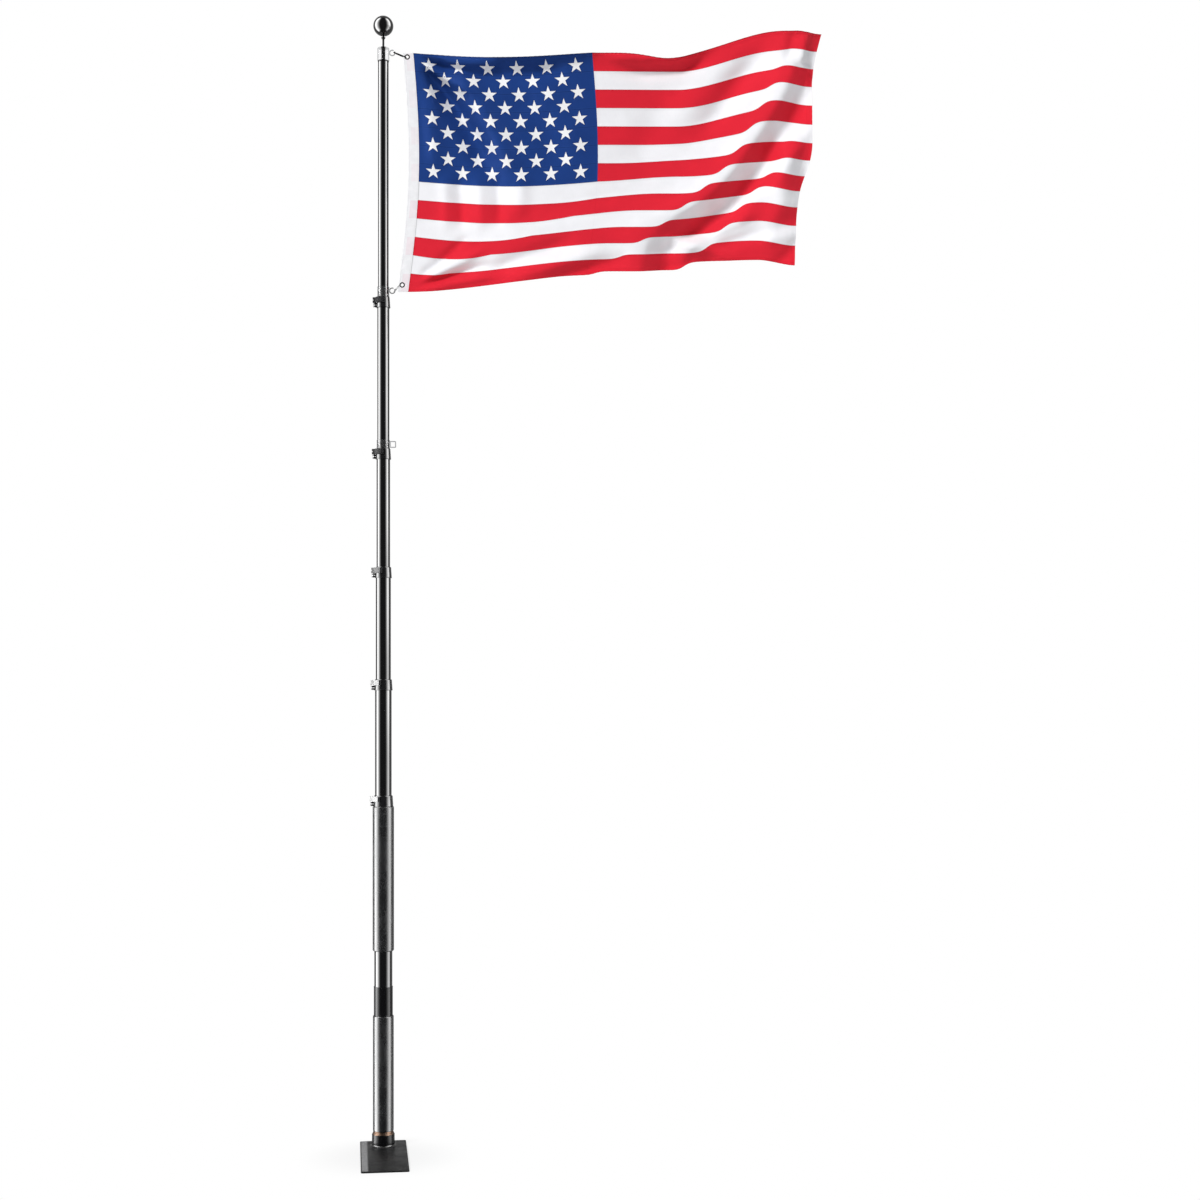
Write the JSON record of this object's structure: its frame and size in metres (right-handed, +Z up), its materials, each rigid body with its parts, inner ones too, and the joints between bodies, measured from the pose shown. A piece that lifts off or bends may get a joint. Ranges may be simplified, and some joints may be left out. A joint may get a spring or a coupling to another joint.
{
  "type": "telescoping flagpole with drive-on base plate and flag",
  "caption": "Black telescoping flagpole with lever clamps and a ball top, socketed on a flat drive-on base plate, flying a striped flag from swivel rings.",
  "frame": {"origin": "on the pole's axis, on the underside of the base plate", "axes": "+Z up along the pole; -Y the way the long part of the plate runs out; +X about the way the flag flies"},
  "size_m": [1.7584, 0.459, 4.305],
  "materials": {
    "plate_coat": "satin charcoal powder coat with small scuffs",
    "socket_coat": "gloss black paint",
    "weld_coat": "gloss black paint over a rippled weld bead",
    "copper": "copper-coloured metal",
    "sleeve": "satin grey-black plastic",
    "band": "matt black rubber with a fine grain",
    "tube_coat": "gloss black coat",
    "collar_plastic": "glossy black moulded plastic",
    "pale_lever_plastic": "pale satin moulded plastic",
    "grey_lever_plastic": "grey satin moulded plastic",
    "lever_plastic": "satin black moulded plastic",
    "pin_steel": "plain steel",
    "plug_plastic": "black moulded plastic",
    "stem_coat": "gloss black coat",
    "ball_coat": "high gloss black",
    "clear_plastic": "milky clear plastic",
    "link_steel": "dark steel wire",
    "grommet_metal": "worn metal",
    "heading_cloth": "plain white heading canvas",
    "flag_cloth": "red, white and blue sewn nylon"
  },
  "bodies": {
    "base": {"base_plate": "plate_coat", "socket_tube": "socket_coat", "socket_weld": "weld_coat", "socket_ring": "copper", "lower_sleeve": "sleeve", "grip_band": "band", "upper_sleeve": "sleeve", "tube_1": "tube_coat", "collar_1": "collar_plastic", "lever_pin_1": "pin_steel"},
    "section_2": {"tube_2": "tube_coat", "collar_2": "collar_plastic", "lever_pin_2": "pin_steel"},
    "section_3": {"tube_3": "tube_coat", "collar_3": "collar_plastic", "lever_pin_3": "pin_steel"},
    "section_4": {"tube_4": "tube_coat", "collar_4": "collar_plastic", "lever_pin_4": "pin_steel"},
    "section_5": {"tube_5": "tube_coat", "collar_5": "collar_plastic", "lever_pin_5": "pin_steel"},
    "section_6": {"tube_6": "tube_coat", "top_plug": "plug_plastic", "finial_stem": "stem_coat", "finial_ball": "ball_coat"},
    "flag_swivel": {"upper_ring": "clear_plastic", "upper_link": "link_steel", "upper_grommet": "grommet_metal", "heading": "heading_cloth", "flag": "flag_cloth"},
    "lower_swivel": {"lower_ring": "clear_plastic", "lower_link": "clear_plastic", "lower_grommet": "grommet_metal"},
    "spare_swivel": {"spare_ring": "clear_plastic"},
    "latch_1": {"lever_1": "pale_lever_plastic"},
    "latch_2": {"lever_2": "pale_lever_plastic"},
    "latch_3": {"lever_3": "grey_lever_plastic"},
    "latch_4": {"lever_4": "lever_plastic"},
    "latch_5": {"lever_5": "lever_plastic"}
  },
  "joints": [
    {"name": "section_2_slide", "type": "slide", "parent": "base", "child": "section_2", "axis": [0, 0, 1], "range_m": [-0.395, 0]},
    {"name": "section_3_slide", "type": "slide", "parent": "section_2", "child": "section_3", "axis": [0, 0, 1], "range_m": [-0.381, 0]},
    {"name": "section_4_slide", "type": "slide", "parent": "section_3", "child": "section_4", "axis": [0, 0, 1], "range_m": [-0.405, 0]},
    {"name": "section_5_slide", "type": "slide", "parent": "section_4", "child": "section_5", "axis": [0, 0, 1], "range_m": [-0.4995, 0]},
    {"name": "section_6_slide", "type": "slide", "parent": "section_5", "child": "section_6", "axis": [0, 0, 1], "range_m": [-0.8515, 0], "deforming": ["flag", "heading"]},
    {"name": "lever_1_swing", "type": "hinge", "parent": "base", "child": "latch_1", "pos_m": [-0.04316, 0, 1.313], "axis": [0, 0, -1], "range_deg": [0, 100]},
    {"name": "lever_2_swing", "type": "hinge", "parent": "section_2", "child": "latch_2", "pos_m": [-0.04031, 0, 1.755], "axis": [0, 0, -1], "range_deg": [0, 100]},
    {"name": "lever_3_swing", "type": "hinge", "parent": "section_3", "child": "latch_3", "pos_m": [-0.03746, 0, 2.183], "axis": [0, 0, -1], "range_deg": [0, 100]},
    {"name": "lever_4_swing", "type": "hinge", "parent": "section_4", "child": "latch_4", "pos_m": [-0.03461, 0, 2.635], "axis": [0, 0, -1], "range_deg": [0, 100]},
    {"name": "lever_5_swing", "type": "hinge", "parent": "section_5", "child": "latch_5", "pos_m": [-0.03176, 0, 3.212], "axis": [0, 0, -1], "range_deg": [0, 100]},
    {"name": "flag_turn", "type": "hinge", "parent": "section_6", "child": "flag_swivel", "pos_m": [0, 0, 4.135], "axis": [0, 0, 1], "continuous": true},
    {"name": "lower_ring_turn", "type": "hinge", "parent": "section_5", "child": "lower_swivel", "pos_m": [0, 0, 3.2355], "axis": [0, 0, 1], "continuous": true},
    {"name": "spare_ring_turn", "type": "hinge", "parent": "section_4", "child": "spare_swivel", "pos_m": [0, 0, 2.6585], "axis": [0, 0, 1], "continuous": true}
  ],
  "couplings": [
    {"joint": "lower_ring_turn", "follows": "flag_turn", "ratio": 1}
  ]
}
